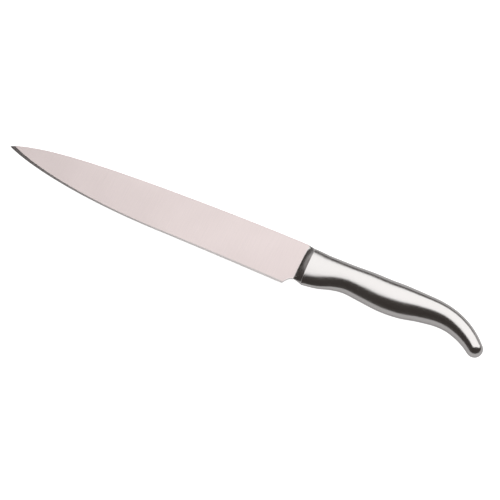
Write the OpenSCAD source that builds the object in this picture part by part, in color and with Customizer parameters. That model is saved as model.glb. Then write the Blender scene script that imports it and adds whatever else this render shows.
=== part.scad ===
// Carving knife with a hollow steel handle, lying on its right side.
// The tip points to -X, the butt to +X and the cutting edge to -Y.
// Millimetres.

/* [Blade] */
// Length of the blade, from the tip to the front of the bolster
blade_length = 200; // [185:1:215]
// Depth of the heel corner below the reference line of the spine
heel_depth = 29.4; // [28:0.1:31]
// Thickness of the blade at the spine, at the bolster
spine_thickness = 2.4; // [2.2:0.1:2.6]
// Thickness of the blade just above the heel corner
edge_thickness = 0.68; // [0.6:0.02:0.8]
// Angle of the edge bevel on each side
bevel_angle = 15; // [12:1:20]

/* [Handle] */
// Wall thickness of the hollow handle
handle_wall = 1.2; // [1.0:0.1:1.4]
// Width of the welded seams between the two handle halves
seam_width = 0.8; // [0.6:0.1:1.0]
// Half of the handle's greatest thickness
grip_half = 7.8; // [7.4:0.1:8.2]

/* [Bolster] */
// Length of the flared front of the bolster
flare_length = 5; // [4:0.5:6]
// Thickness of the bolster where it meets the blade
front_thickness = 2.7; // [2.7:0.1:3.2]

/* [Hidden] */
steel = [0.80, 0.78, 0.77];
weld_grey = [0.72, 0.71, 0.70];
sand = [0.76, 0.68, 0.52];

// ---- curves ----
function bez(p, t) = p[0]*pow(1-t, 3) + 3*p[1]*t*pow(1-t, 2)
                   + 3*p[2]*t*t*(1-t) + p[3]*pow(t, 3);
function cr(a, b, c, d, t) = 0.5*(2*b + (c-a)*t + (2*a-5*b+4*c-d)*t*t
                           + (3*b-a-3*c+d)*t*t*t);
function unit(v) = v / norm(v);

// ---- blade outline, tip to bolster ----
L = blade_length;
kd = heel_depth / 29.4;
heel = [-5.2, -heel_depth];
tip = [-L, -10];
spine_1 = [tip, [-0.91*L, -2], [-0.725*L, 0], [-0.5*L, 1]];
spine_2 = [[-0.5*L, 1], [-0.35*L, 1.6], [-0.15*L, 1.6], [0, 0.6]];
edge_1 = [tip, [-0.925*L, -17*kd], [-0.725*L, -26*kd], [-0.45*L, -27*kd]];
edge_2 = [[-0.45*L, -27*kd], [-0.3*L, -27.6*kd], [-0.175*L, -28.4*kd], heel];
choil = [[0, -24], [-2, -24.3], [-3.8, -25.8], heel];
spine_pts = concat([for (i = [0:15]) bez(spine_1, i/16)],
                   [for (i = [0:12]) bez(spine_2, i/12)]);
edge_pts = concat([for (i = [0:19]) bez(edge_1, i/20)],
                  [for (i = [0:12]) bez(edge_2, i/12)]);
choil_pts = [for (i = [0:7]) bez(choil, i/8)];
outline = concat(spine_pts, choil_pts,
                 [for (i = [len(edge_pts)-1:-1:1]) edge_pts[i]]);

// The two flats are planes: the half thickness falls from spine to edge and
// from bolster to tip.
taper_y = (spine_thickness - edge_thickness) / 2 / 30.4;
taper_x = 0.0015;
half_0 = spine_thickness/2 - taper_y;

// ---- handle: centre x, centre y, half height, half thickness ----
kb = grip_half / 7.8;
stations = [
  [flare_length, -12.8, 12.8, 5.3], [13, -12.5, 11.9, 5.8*kb],
  [22, -11.3, 10.3, 6.4*kb], [31, -10.8, 9.5, 7.0*kb],
  [43, -11.3, 10.3, 7.5*kb], [55, -12.1, 10.8, 7.8*kb],
  [66, -11.8, 10.6, 7.8*kb], [77, -10.9, 9.2, 7.5*kb],
  [88, -10.6, 8.0, 7.1*kb], [97, -12.0, 7.1, 6.6*kb],
  [105, -15.2, 6.4, 6.1*kb], [111.5, -19.3, 5.7, 5.6*kb],
  [116.3, -23.4, 5.1, 5.2*kb]];
LAST = len(stations) - 1;
cap_r = 5.2;        // depth of the rounded butt
cap_end = 0.743;    // where the shells stop and the plug starts
u_joint = 1.3;      // bolster meets the weld ring
u_shell = 1.38;     // weld ring meets the shells
u_spigot = 2.3;     // end of the spigot inside the shells
u_fill = 2.4;       // start of the ballast

function st(i) = i < 0 ? 2*stations[0] - stations[1]
               : i > LAST ? 2*stations[LAST] - stations[LAST-1] : stations[i];
function S(u) = let (i = min(floor(u), LAST-1), t = u - i)
  cr(st(i-1), st(i), st(i+1), st(i+2), t);
function along(u) = let (d = S(min(u+0.01, LAST)) - S(max(u-0.01, 0)))
  unit([d[0], d[1]]);
// Point of the handle at station s and angle f (0 spine, 90 left, 180 belly),
// set in by d from the outside. Past the last station it is the rounded butt.
function sec(s, f, d) =
  let (u = min(s, LAST), v = max(s - LAST, 0), q = S(u), T = along(u),
       k = cos(90*v), r = (cap_r - d)*sin(90*v), h = (q[2] - d)*k*cos(f))
  [q[0] + T[0]*r - T[1]*h, q[1] + T[1]*r + T[0]*h, (q[3] - d)*k*sin(f)];
function ring(s, d, m) = [for (j = [0:m-1]) sec(s, 360*j/m, d)];
function seam(s, d) = let (u = min(s, LAST), v = max(s - LAST, 0))
  asin(seam_width/2 / ((S(u)[3] - d)*cos(90*v)));
function half_row(s, d) = let (g = seam(s, d))
  [for (j = [0:12]) sec(s, g + (180 - 2*g)*j/12, d)];
shell_rows = concat([for (i = [0:28]) u_shell + (LAST - u_shell)*i/28],
                    [for (i = [1:4]) LAST + cap_end*i/4]);

// ---- resting place: grip and the flat near the tip both touch the ground ----
lay_pitch = atan((7.67*kb - 0.65) / (L - 3 + 48));
function laid(p) = [p[0]*cos(lay_pitch) - p[2]*sin(lay_pitch), p[1],
                    p[0]*sin(lay_pitch) + p[2]*cos(lay_pitch)];
all_pts = [for (p = outline) laid([p[0], p[1], 0]),
           for (p = spine_pts) laid([p[0], p[1],
             -min(half_0 + taper_x*p[0] + taper_y*p[1],
                  0.04 + 0.27*(p[0] + L))]),
           for (s = concat(shell_rows, [LAST + 0.87, LAST + 1]))
             for (p = ring(s, 0, 24)) laid(p)];
off_x = -(min([for (p = all_pts) p[0]]) + max([for (p = all_pts) p[0]]))/2;
off_y = -(min([for (p = all_pts) p[1]]) + max([for (p = all_pts) p[1]]))/2;
off_z = -min([for (p = all_pts) p[2]]);
module lay() translate([off_x, off_y, off_z]) rotate([0, -lay_pitch, 0])
  children();

// ---- solids from rows of points ----
module sheet_solid(o, n, closed = false) {
  R = len(o); M = len(o[0]); K = R*M;
  last = closed ? M-1 : M-2;
  function id(s, i, j) = s*K + i*M + (j % M);
  pts = concat([for (r = o) for (p = r) p], [for (r = n) for (p = r) p]);
  faces = concat(
    [for (i = [0:R-2], j = [0:last]) each
      [[id(0,i,j), id(0,i+1,j), id(0,i+1,j+1)],
       [id(0,i,j), id(0,i+1,j+1), id(0,i,j+1)]]],
    [for (i = [0:R-2], j = [0:last]) each
      [[id(1,i,j), id(1,i+1,j+1), id(1,i+1,j)],
       [id(1,i,j), id(1,i,j+1), id(1,i+1,j+1)]]],
    [for (j = [0:last]) each
      [[id(0,0,j), id(0,0,j+1), id(1,0,j+1)],
       [id(0,0,j), id(1,0,j+1), id(1,0,j)]]],
    [for (j = [0:last]) each
      [[id(0,R-1,j), id(1,R-1,j+1), id(0,R-1,j+1)],
       [id(0,R-1,j), id(1,R-1,j), id(1,R-1,j+1)]]],
    closed ? [] : [for (i = [0:R-2]) each
      [[id(0,i,0), id(1,i,0), id(1,i+1,0)],
       [id(0,i,0), id(1,i+1,0), id(0,i+1,0)]]],
    closed ? [] : [for (i = [0:R-2]) each
      [[id(0,i,M-1), id(1,i+1,M-1), id(1,i,M-1)],
       [id(0,i,M-1), id(0,i+1,M-1), id(1,i+1,M-1)]]]);
  polyhedron(pts, faces);
}
module loft(r) {
  R = len(r); M = len(r[0]);
  function id(i, j) = i*M + (j % M);
  polyhedron([for (a = r) for (p = a) p], concat(
    [for (i = [0:R-2], j = [0:M-1]) each
      [[id(i,j), id(i+1,j), id(i+1,j+1)], [id(i,j), id(i+1,j+1), id(i,j+1)]]],
    [[for (j = [0:M-1]) j]],
    [[for (j = [M-1:-1:0]) id(R-1, j)]]));
}

// ---- blade ----
// Removes the metal above one flat of the blade
module flat_cut() translate([0, 0, half_0])
  rotate([atan(taper_y), -atan(taper_x), 0])
    translate([-L-20, -60, 0]) cube([L+60, 90, 10]);
// Removes the metal above one side of the edge bevel
module bevel_cut() {
  E = edge_pts; n = len(E) - 1; g = tan(bevel_angle);
  function dir(i) = unit(E[min(i+1, n)] - E[max(i-1, 0)]);
  path = concat([[E[0] - dir(0), dir(0)]], [for (i = [0:n]) [E[i], dir(i)]],
                [[E[n] + dir(n), dir(n)]]);
  loft([for (q = path) let (m = [-q[1][1], q[1][0]])
    [for (wz = [[3, 0.04 + 3*g], [3, 4], [-1, 4], [-1, 0.04 - g]])
      [q[0][0] + m[0]*wz[0], q[0][1] + m[1]*wz[0], wz[1]]]]);
}
module blade() color(steel) lay() union() {
  difference() {
    translate([0, 0, -3]) linear_extrude(6) polygon(outline);
    flat_cut();
    mirror([0, 0, 1]) flat_cut();
    bevel_cut();
    mirror([0, 0, 1]) bevel_cut();
  }
  translate([-0.5, -13, -0.75]) cube([24, 11, 1.5]);
}

// ---- bolster ----
function sq(v, e) = sign(v)*pow(abs(v), e);
function front_pt(f) = [0, -11.65 + 12.3*sq(cos(f), 0.75),
                        front_thickness/2*sq(sin(f), 0.6)];
function flare_row(t) = let (w = pow(t, 1.3)) [for (j = [0:35])
  let (a = front_pt(10*j), b = sec(0, 10*j, 0))
    [a[0] + (b[0]-a[0])*t, a[1] + (b[1]-a[1])*w, a[2] + (b[2]-a[2])*w]];
module bolster() color(steel) lay() difference() {
  loft(concat([for (i = [0:6]) flare_row(i/6)],
              [for (i = [1:5]) ring(u_joint*i/5, 0, 36)],
              [for (s = [u_joint, u_spigot]) ring(s, handle_wall + 0.1, 36)]));
  translate([-2, -13.05, -0.8]) cube([34, 11.1, 1.6]);
}
module bolster_weld() color(weld_grey) lay()
  sheet_solid([for (s = [u_joint, u_shell]) ring(s, 0, 36)],
              [for (s = [u_joint, u_shell]) ring(s, handle_wall, 36)], true);

// ---- handle ----
module half_shell() sheet_solid([for (s = shell_rows) half_row(s, 0)],
                                [for (s = shell_rows) half_row(s, handle_wall)]);
module handle_shell_left() color(steel) lay() half_shell();
module handle_shell_right() color(steel) lay() mirror([0, 0, 1]) half_shell();
module spine_weld() color(weld_grey) lay() loft([for (s = shell_rows)
  let (o = seam(s, 0), i = seam(s, handle_wall), w = handle_wall)
    [sec(s, 0, 0), sec(s, o, 0), sec(s, i, w),
     sec(s, 0, w), sec(s, -i, w), sec(s, -o, 0)]]);
module belly_weld() color(weld_grey) lay() loft([for (s = shell_rows)
  let (o = seam(s, 0), i = seam(s, handle_wall), w = handle_wall)
    [sec(s, 180, w), sec(s, 180 - i, w), sec(s, 180 - o, 0),
     sec(s, 180, 0), sec(s, 180 + o, 0), sec(s, 180 + i, w)]]);
module sand_ballast() color(sand) lay()
  loft([for (i = [0:20]) ring(u_fill + (LAST + 0.6 - u_fill)*i/20,
                              handle_wall + 0.05, 24)]);
module filler_plug() color(steel) lay()
  loft(concat([ring(LAST + cap_end, handle_wall, 24)],
              [for (i = [0:4]) ring(LAST + cap_end + (0.97 - cap_end)*i/4,
                                    0, 24)]));

blade();
bolster();
bolster_weld();
handle_shell_left();
handle_shell_right();
spine_weld();
belly_weld();
sand_ballast();
filler_plug();
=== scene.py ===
import math
import bpy
import numpy as np
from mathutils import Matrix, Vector

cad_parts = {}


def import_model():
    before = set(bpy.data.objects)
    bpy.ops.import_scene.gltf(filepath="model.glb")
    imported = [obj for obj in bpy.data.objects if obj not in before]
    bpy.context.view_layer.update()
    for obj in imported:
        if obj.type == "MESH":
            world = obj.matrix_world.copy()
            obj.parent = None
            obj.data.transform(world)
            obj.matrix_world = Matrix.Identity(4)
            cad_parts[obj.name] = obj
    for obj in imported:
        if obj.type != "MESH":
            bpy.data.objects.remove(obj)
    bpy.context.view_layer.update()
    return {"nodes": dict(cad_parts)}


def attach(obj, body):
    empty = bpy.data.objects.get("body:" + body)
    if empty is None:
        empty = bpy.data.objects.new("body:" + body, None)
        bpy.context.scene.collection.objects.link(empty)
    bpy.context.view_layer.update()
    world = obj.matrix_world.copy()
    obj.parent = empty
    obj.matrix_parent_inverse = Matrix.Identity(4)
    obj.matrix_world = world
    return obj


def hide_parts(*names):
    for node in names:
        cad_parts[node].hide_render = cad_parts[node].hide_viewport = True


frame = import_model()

# ------------------------------------------------------------------ camera
# Everything is laid out in the knife's own frame K (mm): x to the butt, y to
# the spine, z out of the left side, origin where spine meets bolster. It is
# then laid down on the floor, in metres, just where the CAD lies.
GRIP_HALF, BLADE, SEAM, WALL, CAP_R, CAP_END = 7.8, 200.0, 0.8, 1.2, 5.2, 0.743
PITCH = math.atan((7.67 - 0.65) / (BLADE - 3 + 48))
CP, SP = math.cos(PITCH), math.sin(PITCH)


def laid(p):
    p = np.asarray(p, float)
    return np.stack([p[..., 0]*CP - p[..., 2]*SP, p[..., 1],
                     p[..., 0]*SP + p[..., 2]*CP], -1)


# ------------------------------------------------------------------ handle
ST = np.array([
    [5, -12.8, 12.8, 5.3], [13, -12.5, 11.9, 5.8], [22, -11.3, 10.3, 6.4],
    [31, -10.8, 9.5, 7.0], [43, -11.3, 10.3, 7.5], [55, -12.1, 10.8, 7.8],
    [66, -11.8, 10.6, 7.8], [77, -10.9, 9.2, 7.5], [88, -10.6, 8.0, 7.1],
    [97, -12.0, 7.1, 6.6], [105, -15.2, 6.4, 6.1], [111.5, -19.3, 5.7, 5.6],
    [116.3, -23.4, 5.1, 5.2]])
LAST = len(ST) - 1
U_JOINT, U_SHELL, U_SPIGOT = 1.3, 1.38, 2.3


def station(i):
    if i < 0:
        return 2*ST[0] - ST[1]
    if i > LAST:
        return 2*ST[LAST] - ST[LAST-1]
    return ST[i]


def S(u):
    i = min(int(math.floor(u)), LAST - 1)
    t = u - i
    a, b, c, d = (station(i+k) for k in (-1, 0, 1, 2))
    return 0.5*(2*b + (c-a)*t + (2*a-5*b+4*c-d)*t*t + (3*b-a-3*c+d)*t**3)


def along(u):
    d = (S(min(u+0.01, LAST)) - S(max(u-0.01, 0)))[:2]
    return d/np.linalg.norm(d)


def sec(s, f, d):
    """Points at station s and angles f (degrees), set in by d."""
    f = np.radians(np.asarray(f, float))
    u, v = min(s, LAST), max(s - LAST, 0.0)
    q, T = S(u), along(u)
    k, r = math.cos(math.pi/2*v), (CAP_R - d)*math.sin(math.pi/2*v)
    h = (q[2]-d)*k*np.cos(f)
    return np.stack([q[0] + T[0]*r - T[1]*h, q[1] + T[1]*r + T[0]*h,
                     (q[3]-d)*k*np.sin(f)], -1)


def ring(s, d, m):
    return sec(s, np.arange(m)*360.0/m, d)


def seam(s, d):
    u, v = min(s, LAST), max(s - LAST, 0.0)
    return math.degrees(math.asin(SEAM/2/((S(u)[3]-d)*math.cos(math.pi/2*v))))


def half_row(s, d, m):
    g = seam(s, d)
    return sec(s, np.linspace(g, 180-g, m), d)


ROWS = np.concatenate([np.linspace(U_SHELL, LAST, 190),
                       LAST + CAP_END*np.linspace(0, 1, 13)[1:]])

# ------------------------------------------------------------------ blade outline


def bez(p, t):
    p, t = np.asarray(p, float), np.asarray(t, float)[:, None]
    return (p[0]*(1-t)**3 + 3*p[1]*t*(1-t)**2 + 3*p[2]*t*t*(1-t) + p[3]*t**3)


L = BLADE
HEEL = [-5.2, -29.4]
tt = np.linspace(0, 1, 1500)
SPINE = np.concatenate([
    bez([[-L, -10], [-0.91*L, -2], [-0.725*L, 0], [-0.5*L, 1]], tt),
    bez([[-0.5*L, 1], [-0.35*L, 1.6], [-0.15*L, 1.6], [0, 0.6]], tt)[1:]])
EDGE = np.concatenate([
    bez([[-L, -10], [-0.925*L, -17], [-0.725*L, -26], [-0.45*L, -27]], tt),
    bez([[-0.45*L, -27], [-0.3*L, -27.6], [-0.175*L, -28.4], HEEL], tt)[1:]])
CHOIL = bez([[0, -24], [-2, -24.3], [-3.8, -25.8], HEEL], tt)[::-1]
TAPER_Y = (2.4 - 0.68)/2/30.4
TAPER_X = 0.0015
HALF_0 = 1.2 - TAPER_Y
BEVEL = math.tan(math.radians(15))

# ------------------------------------------------------------------ placing
_half = np.minimum(HALF_0 + TAPER_X*SPINE[:, 0] + TAPER_Y*SPINE[:, 1],
                   0.04 + 0.27*(SPINE[:, 0] + L))
_pts = [laid(np.c_[SPINE, np.zeros(len(SPINE))]), laid(np.c_[SPINE, -_half]),
        laid(np.c_[EDGE, np.zeros(len(EDGE))])]
_pts += [laid(ring(s, 0, 96)) for s in list(ROWS) + [LAST+0.87, LAST+1.0]]
_pts = np.concatenate(_pts)
LOW, HIGH = _pts.min(0), _pts.max(0)
OFF = np.array([-(LOW[0]+HIGH[0])/2, -(LOW[1]+HIGH[1])/2, -LOW[2]])


def row(p):
    return (laid(p) + OFF)/1000.0


cam = bpy.data.objects.new("camera", bpy.data.cameras.new("camera"))
bpy.context.scene.collection.objects.link(cam)
el, az, dist = math.radians(62), math.radians(24.67), 1.2
back = Vector((math.sin(az)*math.cos(el), -math.cos(az)*math.cos(el),
               math.sin(el)))
target = Vector(((-31.9 + OFF[0])/1000, (-16.5 + OFF[1])/1000,
                 (5 + OFF[2] - 5.98)/1000))
cam.location = target + back*dist
cam.rotation_euler = back.to_track_quat("Z", "Y").to_euler()
cam.data.sensor_width = 36
cam.data.lens = 142.8
cam.data.clip_start = 0.01
cam.data.clip_end = 50
bpy.context.scene.camera = cam

# ------------------------------------------------------------------ meshes


def obj(name, verts, faces, angle):
    me = bpy.data.meshes.new(name)
    me.from_pydata([tuple(v) for v in row(verts)], [],
                   [tuple(int(i) for i in f) for f in faces])
    me.validate()
    me.update()
    for p in me.polygons:
        p.use_smooth = True
    me.set_sharp_from_angle(angle=math.radians(angle))
    o = bpy.data.objects.new(name, me)
    bpy.context.scene.collection.objects.link(o)
    return o


def loft(rings, base=0):
    """Closed solid through closed rings, faces outward."""
    R, M = len(rings), len(rings[0])
    v = np.concatenate(rings)
    f = []
    for i in range(R-1):
        for j in range(M):
            k = (j+1) % M
            f.append([base+i*M+j, base+i*M+k, base+(i+1)*M+k, base+(i+1)*M+j])
    f.append([base+j for j in range(M-1, -1, -1)])
    f.append([base+(R-1)*M+j for j in range(M)])
    return v, f


def sheet(o, n, closed=False):
    """Closed wall between an outer and an inner grid of points."""
    R, M = len(o), len(o[0])
    K = R*M
    v = np.concatenate(list(o) + list(n))
    last = M if closed else M-1
    f = []

    def a(i, j):
        return i*M + j % M
    for i in range(R-1):
        for j in range(last):
            f.append([a(i, j), a(i, j+1), a(i+1, j+1), a(i+1, j)])
            f.append([K+a(i, j), K+a(i+1, j), K+a(i+1, j+1), K+a(i, j+1)])
        if not closed:
            f.append([a(i, 0), a(i+1, 0), K+a(i+1, 0), K+a(i, 0)])
            e = M-1
            f.append([a(i, e), K+a(i, e), K+a(i+1, e), a(i+1, e)])
    for j in range(last):
        f.append([a(0, j), K+a(0, j), K+a(0, j+1), a(0, j+1)])
        e = R-1
        f.append([a(e, j), a(e, j+1), K+a(e, j+1), K+a(e, j)])
    return v, f


# Blade: sections across x, the thickness is the lower of the flat and the
# bevel, and the spine's corners carry a small ground chamfer.
edge_dir = np.gradient(EDGE, axis=0)
edge_dir /= np.linalg.norm(edge_dir, axis=1)[:, None]
ext = EDGE[-1] + edge_dir[-1]*np.linspace(0.02, 4, 120)[:, None]
EDGE_X = np.concatenate([EDGE, ext])
low_line = np.concatenate([EDGE, CHOIL[1:]])


def flat(x, y):
    return HALF_0 + TAPER_X*x + TAPER_Y*y


def bevel(x, y):
    d = np.hypot(EDGE_X[:, 0]-x, EDGE_X[:, 1]-y).min()
    return 0.04 + BEVEL*d


def section(x):
    yl = float(np.interp(x, low_line[:, 0], low_line[:, 1]))
    yu = float(np.interp(x, SPINE[:, 0], SPINE[:, 1]))
    lo, hi = yl, min(yu, yl+6)
    if bevel(x, lo) >= flat(x, lo):
        ys = yl
    elif bevel(x, hi) < flat(x, hi):
        ys = hi
    else:
        for _ in range(40):
            m = (lo+hi)/2
            if bevel(x, m) < flat(x, m):
                lo = m
            else:
                hi = m
        ys = (lo+hi)/2
    w = yu - yl
    ch = min(0.16, 0.08*w)
    ys = min(max(ys, yl + 0.02*w), yu - ch - 0.03*w)
    y = [yl, ys, *(ys + (yu-ch-ys)*np.array([0.2, 0.5, 0.8])), yu-ch, yu]
    z = [min(flat(x, q), bevel(x, q)) for q in y]
    z[-1] = max(z[-2] - 0.75*ch, 0.02)
    top = [[x, q, h] for q, h in zip(y, z)][::-1]
    return np.array(top + [[p[0], p[1], -p[2]] for p in top[::-1]])


xs = np.unique(np.round(np.concatenate([
    -200 + np.array([0.03, 0.08, 0.15, 0.25, 0.4, 0.6, 0.85, 1.2, 1.6, 2.1,
                     2.7, 3.4, 4.2, 5.1, 6.1, 7.2, 8.4, 9.7]),
    np.linspace(-189, -8, 150), np.linspace(-7.5, -5.4, 8),
    np.linspace(-5.2, 0, 60)]), 4))
v1, f1 = loft([section(x) for x in xs])
box = np.array([[-13, -0.75], [-2, -0.75], [-2, 0.75], [-13, 0.75]])
v2, f2 = loft([np.c_[np.full(4, x), box][[2, 3, 0, 1]] for x in (0.0, 23.5)],
              len(v1))
blade = obj("blade_body", np.concatenate([v1, v2]), f1 + f2, 7)

# Bolster: flared front with a crisp rim, then the start of the handle, then
# the spigot inside the shells.
M = 144
deg = np.arange(M)*360.0/M


def spow(a, e):
    return np.sign(a)*np.abs(a)**e


cc, ss = np.cos(np.radians(deg)), np.sin(np.radians(deg))
front = np.stack([0*cc, -11.65 + 12.3*spow(cc, 0.75), 1.35*spow(ss, 0.6)], -1)
rim = sec(0, deg, 0)
rim_in = sec(0, deg, 0.22)


def flare(t):
    w = t**1.3
    return np.stack([front[:, 0] + (rim_in[:, 0]-front[:, 0])*t,
                     front[:, 1] + (rim_in[:, 1]-front[:, 1])*w,
                     front[:, 2] + (rim_in[:, 2]-front[:, 2])*w], -1)


flare_rows = [flare(t) for t in np.linspace(0, 1, 22)]
body_rows = [ring(u, 0, M) for u in np.linspace(0.03, U_JOINT, 30)]
spigot = [ring(u, WALL+0.1, M) for u in np.linspace(U_JOINT, U_SPIGOT, 12)]
v, f = loft(flare_rows + body_rows + spigot)
bolster = obj("bolster_body", v, f, 30)
cut_v = np.array([[x, y, z] for x in (-2, 32) for y in (-13.05, -1.95)
                  for z in (-0.8, 0.8)])
cut = obj("tang_slot_cutter", cut_v,
          [[0, 1, 3, 2], [4, 6, 7, 5], [0, 4, 5, 1], [2, 3, 7, 6],
           [0, 2, 6, 4], [1, 5, 7, 3]], 30)
mod = bolster.modifiers.new("slot", "BOOLEAN")
mod.operation, mod.solver, mod.object = "DIFFERENCE", "EXACT", cut
dg = bpy.context.evaluated_depsgraph_get()
cut_mesh = bpy.data.meshes.new_from_object(bolster.evaluated_get(dg))
bolster.modifiers.clear()
bolster.data = cut_mesh
bpy.data.objects.remove(cut)
for p in cut_mesh.polygons:
    p.use_smooth = True
cut_mesh.set_sharp_from_angle(angle=math.radians(30))

v, f = sheet([ring(s, 0, M) for s in (U_JOINT, 1.34, U_SHELL)],
             [ring(s, WALL, M) for s in (U_JOINT, 1.34, U_SHELL)], True)
weld_ring = obj("bolster_weld_ring", v, f, 30)

MH = 61
outer = [half_row(s, 0, MH) for s in ROWS]
inner = [half_row(s, WALL, MH) for s in ROWS]
v, f = sheet(outer, inner)
left = obj("handle_half_left", v, f, 30)
right = obj("handle_half_right", v*np.array([1, 1, -1]),
            [q[::-1] for q in f], 30)

sp, be = [], []
for s in ROWS:
    o, i = seam(s, 0), seam(s, WALL)
    a, b = sec(s, [0, o/2, o], 0), sec(s, [i, 0, -i], WALL)
    c = sec(s, [-o, -o/2], 0)
    sp.append(np.concatenate([a, b, c]))
    a = sec(s, [180, 180-i], WALL)
    b = sec(s, [180-o, 180-o/2, 180, 180+o/2, 180+o], 0)
    c = sec(s, [180+i], WALL)
    be.append(np.concatenate([a, b, c]))
v, f = loft(sp)
spine_seam = obj("spine_seam", v, f, 30)
v, f = loft(be)
belly_seam = obj("belly_seam", v, f, 30)
v, f = loft([ring(LAST+CAP_END, WALL, 64)] +
            [ring(LAST+k, 0, 64) for k in np.linspace(CAP_END, 0.985, 16)])
plug = obj("butt_plug", v, f, 30)

# ------------------------------------------------------------------ materials


def steel(name, base, rough, along_x, grain, bump, drift):
    """Satin steel: fine stretched grain in roughness, tone and bump."""
    m = bpy.data.materials.new(name)
    m.use_nodes = True
    N, K = m.node_tree.nodes, m.node_tree.links
    bs = N["Principled BSDF"]
    bs.inputs["Metallic"].default_value = 1.0
    tc = N.new("ShaderNodeTexCoord")
    mp = N.new("ShaderNodeMapping")
    mp.inputs["Scale"].default_value = ((grain*0.02, grain, grain) if along_x
                                        else (grain, grain*0.03, grain*0.03))
    K.new(tc.outputs["Object"], mp.inputs["Vector"])
    fine = N.new("ShaderNodeTexNoise")
    fine.inputs["Scale"].default_value = 1.0
    fine.inputs["Detail"].default_value = 5.0
    K.new(mp.outputs["Vector"], fine.inputs["Vector"])
    wide = N.new("ShaderNodeTexNoise")
    wide.inputs["Scale"].default_value = 38.0
    wide.inputs["Detail"].default_value = 3.0
    K.new(tc.outputs["Object"], wide.inputs["Vector"])

    def rng(src, a, b):
        r = N.new("ShaderNodeMapRange")
        r.inputs["From Min"].default_value = 0.25
        r.inputs["From Max"].default_value = 0.75
        r.inputs["To Min"].default_value = a
        r.inputs["To Max"].default_value = b
        K.new(src, r.inputs["Value"])
        return r.outputs["Result"]
    add = N.new("ShaderNodeMath")
    add.operation = "ADD"
    K.new(rng(fine.outputs["Fac"], rough-0.04, rough+0.04), add.inputs[0])
    K.new(rng(wide.outputs["Fac"], -0.02, 0.02), add.inputs[1])
    K.new(add.outputs[0], bs.inputs["Roughness"])
    mix = N.new("ShaderNodeMix")
    mix.data_type = "RGBA"
    mix.inputs["A"].default_value = (*[c*(1-drift) for c in base], 1)
    mix.inputs["B"].default_value = (*[min(1, c*(1+drift)) for c in base], 1)
    K.new(rng(fine.outputs["Fac"], 0, 1), mix.inputs["Factor"])
    K.new(mix.outputs["Result"], bs.inputs["Base Color"])
    bp = N.new("ShaderNodeBump")
    bp.inputs["Strength"].default_value = bump
    bp.inputs["Distance"].default_value = 0.00002
    K.new(fine.outputs["Fac"], bp.inputs["Height"])
    K.new(bp.outputs["Normal"], bs.inputs["Normal"])
    return m


blade_steel = steel("blade_steel", (0.82, 0.725, 0.715), 0.40, False, 2600,
                    0.25, 0.035)
bevel_steel = steel("ground_bevel_steel", (0.84, 0.80, 0.795), 0.30, False,
                    3200, 0.15, 0.02)
handle_steel = steel("handle_steel", (0.78, 0.76, 0.75), 0.225, True, 2200,
                     0.2, 0.02)

sand = bpy.data.materials.new("ballast_sand")
sand.use_nodes = True
n, k = sand.node_tree.nodes, sand.node_tree.links
tc = n.new("ShaderNodeTexCoord")
vor = n.new("ShaderNodeTexVoronoi")
vor.inputs["Scale"].default_value = 2500
ramp = n.new("ShaderNodeValToRGB")
ramp.color_ramp.elements[0].color = (0.55, 0.44, 0.28, 1)
ramp.color_ramp.elements[1].color = (0.86, 0.78, 0.62, 1)
k.new(tc.outputs["Object"], vor.inputs["Vector"])
k.new(vor.outputs["Distance"], ramp.inputs["Fac"])
k.new(ramp.outputs["Color"], n["Principled BSDF"].inputs["Base Color"])
n["Principled BSDF"].inputs["Roughness"].default_value = 0.9


def finish(o, mat, slot, *nodes):
    o.data.materials.clear()
    o.data.materials.append(mat)
    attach(o, "root")
    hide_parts(*nodes)


finish(blade, blade_steel, "blade_steel", "blade")
blade.data.materials.append(bevel_steel)
n_ring = 14
for p in blade.data.polygons:
    if len(p.vertices) == 4 and max(p.vertices) < len(v1):
        a = sorted({i % n_ring for i in p.vertices})
        if a in ([5, 6], [6, 7], [7, 8]):
            p.material_index = 1
finish(bolster, handle_steel, "handle_steel", "bolster")
finish(weld_ring, handle_steel, "weld_steel", "bolster_weld")
finish(left, handle_steel, "handle_steel", "handle_shell_left")
finish(right, handle_steel, "handle_steel", "handle_shell_right")
finish(spine_seam, handle_steel, "weld_steel", "spine_weld")
finish(belly_seam, handle_steel, "weld_steel", "belly_weld")
finish(plug, handle_steel, "handle_steel", "filler_plug")
fill = frame["nodes"]["sand_ballast"]
if not fill.data.materials:
    fill.data.materials.append(sand)
for s in fill.material_slots:
    s.material = sand

# ------------------------------------------------------------------ studio
fm = bpy.data.meshes.new("floor")
fm.from_pydata([(-4, -4, 0), (4, -4, 0), (4, 4, 0), (-4, 4, 0)], [],
               [(0, 1, 2, 3)])
floor = bpy.data.objects.new("floor", fm)
bpy.context.scene.collection.objects.link(floor)
white = bpy.data.materials.new("floor_white")
white.use_nodes = True
n, k = white.node_tree.nodes, white.node_tree.links
n.remove(n["Principled BSDF"])


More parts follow.
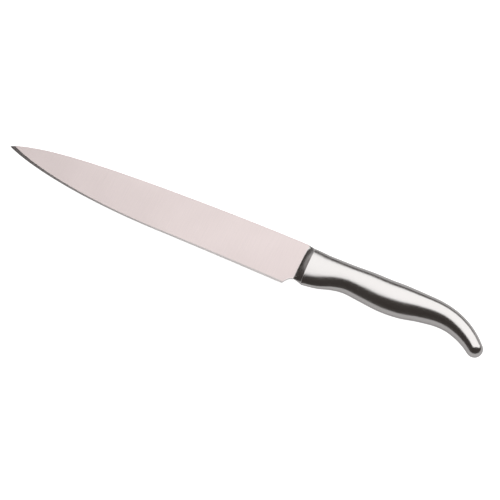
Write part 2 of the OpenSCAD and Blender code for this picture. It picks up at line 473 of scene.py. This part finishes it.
def paper(diffuse, glow):
    a, b, c = (n.new(x) for x in ("ShaderNodeBsdfDiffuse",
                                  "ShaderNodeEmission", "ShaderNodeAddShader"))
    a.inputs["Color"].default_value = (*diffuse, 1)
    b.inputs["Color"].default_value = (*glow, 1)
    k.new(a.outputs[0], c.inputs[0])
    k.new(b.outputs[0], c.inputs[1])
    return c.outputs[0]


lp = n.new("ShaderNodeLightPath")
mx = n.new("ShaderNodeMixShader")
k.new(lp.outputs["Is Glossy Ray"], mx.inputs[0])
k.new(paper((0.45,)*3, (0.82,)*3), mx.inputs[1])
k.new(paper((0.2,)*3, (0.15, 0.142, 0.142)), mx.inputs[2])
k.new(mx.outputs[0], n["Material Output"].inputs["Surface"])
fm.materials.append(white)

w = bpy.data.worlds.new("studio")
bpy.context.scene.world = w
w.use_nodes = True
n, k = w.node_tree.nodes, w.node_tree.links
bg = n["Background"]
bg.inputs["Color"].default_value = (1, 1, 1, 1)
bg.inputs["Strength"].default_value = 1.25
dark = n.new("ShaderNodeBackground")
dark.inputs["Color"].default_value = (0.042, 0.036, 0.033, 1)
dark.inputs["Strength"].default_value = 1.0
lp = n.new("ShaderNodeLightPath")
mx = n.new("ShaderNodeMixShader")
k.new(lp.outputs["Is Glossy Ray"], mx.inputs[0])
k.new(bg.outputs[0], mx.inputs[1])
k.new(dark.outputs[0], mx.inputs[2])
k.new(mx.outputs[0], n["World Output"].inputs["Surface"])

# One big soft light overhead and behind, seen from the knife between about
# 23 and 93 degrees of elevation. Its left end stands over the blade's tip.
ld = bpy.data.lights.new("softbox", "AREA")
ld.shape = "RECTANGLE"
ld.size, ld.size_y = 3.2, 1.68
ld.energy = 19.4
lamp = bpy.data.objects.new("softbox", ld)
bpy.context.scene.collection.objects.link(lamp)
d = Vector((-0.417*math.cos(math.radians(58.5)),
            0.909*math.cos(math.radians(58.5)), math.sin(math.radians(58.5))))
side = Vector((0.909, 0.417, 0))
lamp.location = d*1.2 + side*1.11
lamp.rotation_euler = d.to_track_quat("Z", "Y").to_euler()
lamp.visible_camera = False

sc = bpy.context.scene
sc.view_settings.view_transform = "Standard"
sc.view_settings.look = "None"
sc.view_settings.exposure = 0
sc.view_settings.gamma = 1
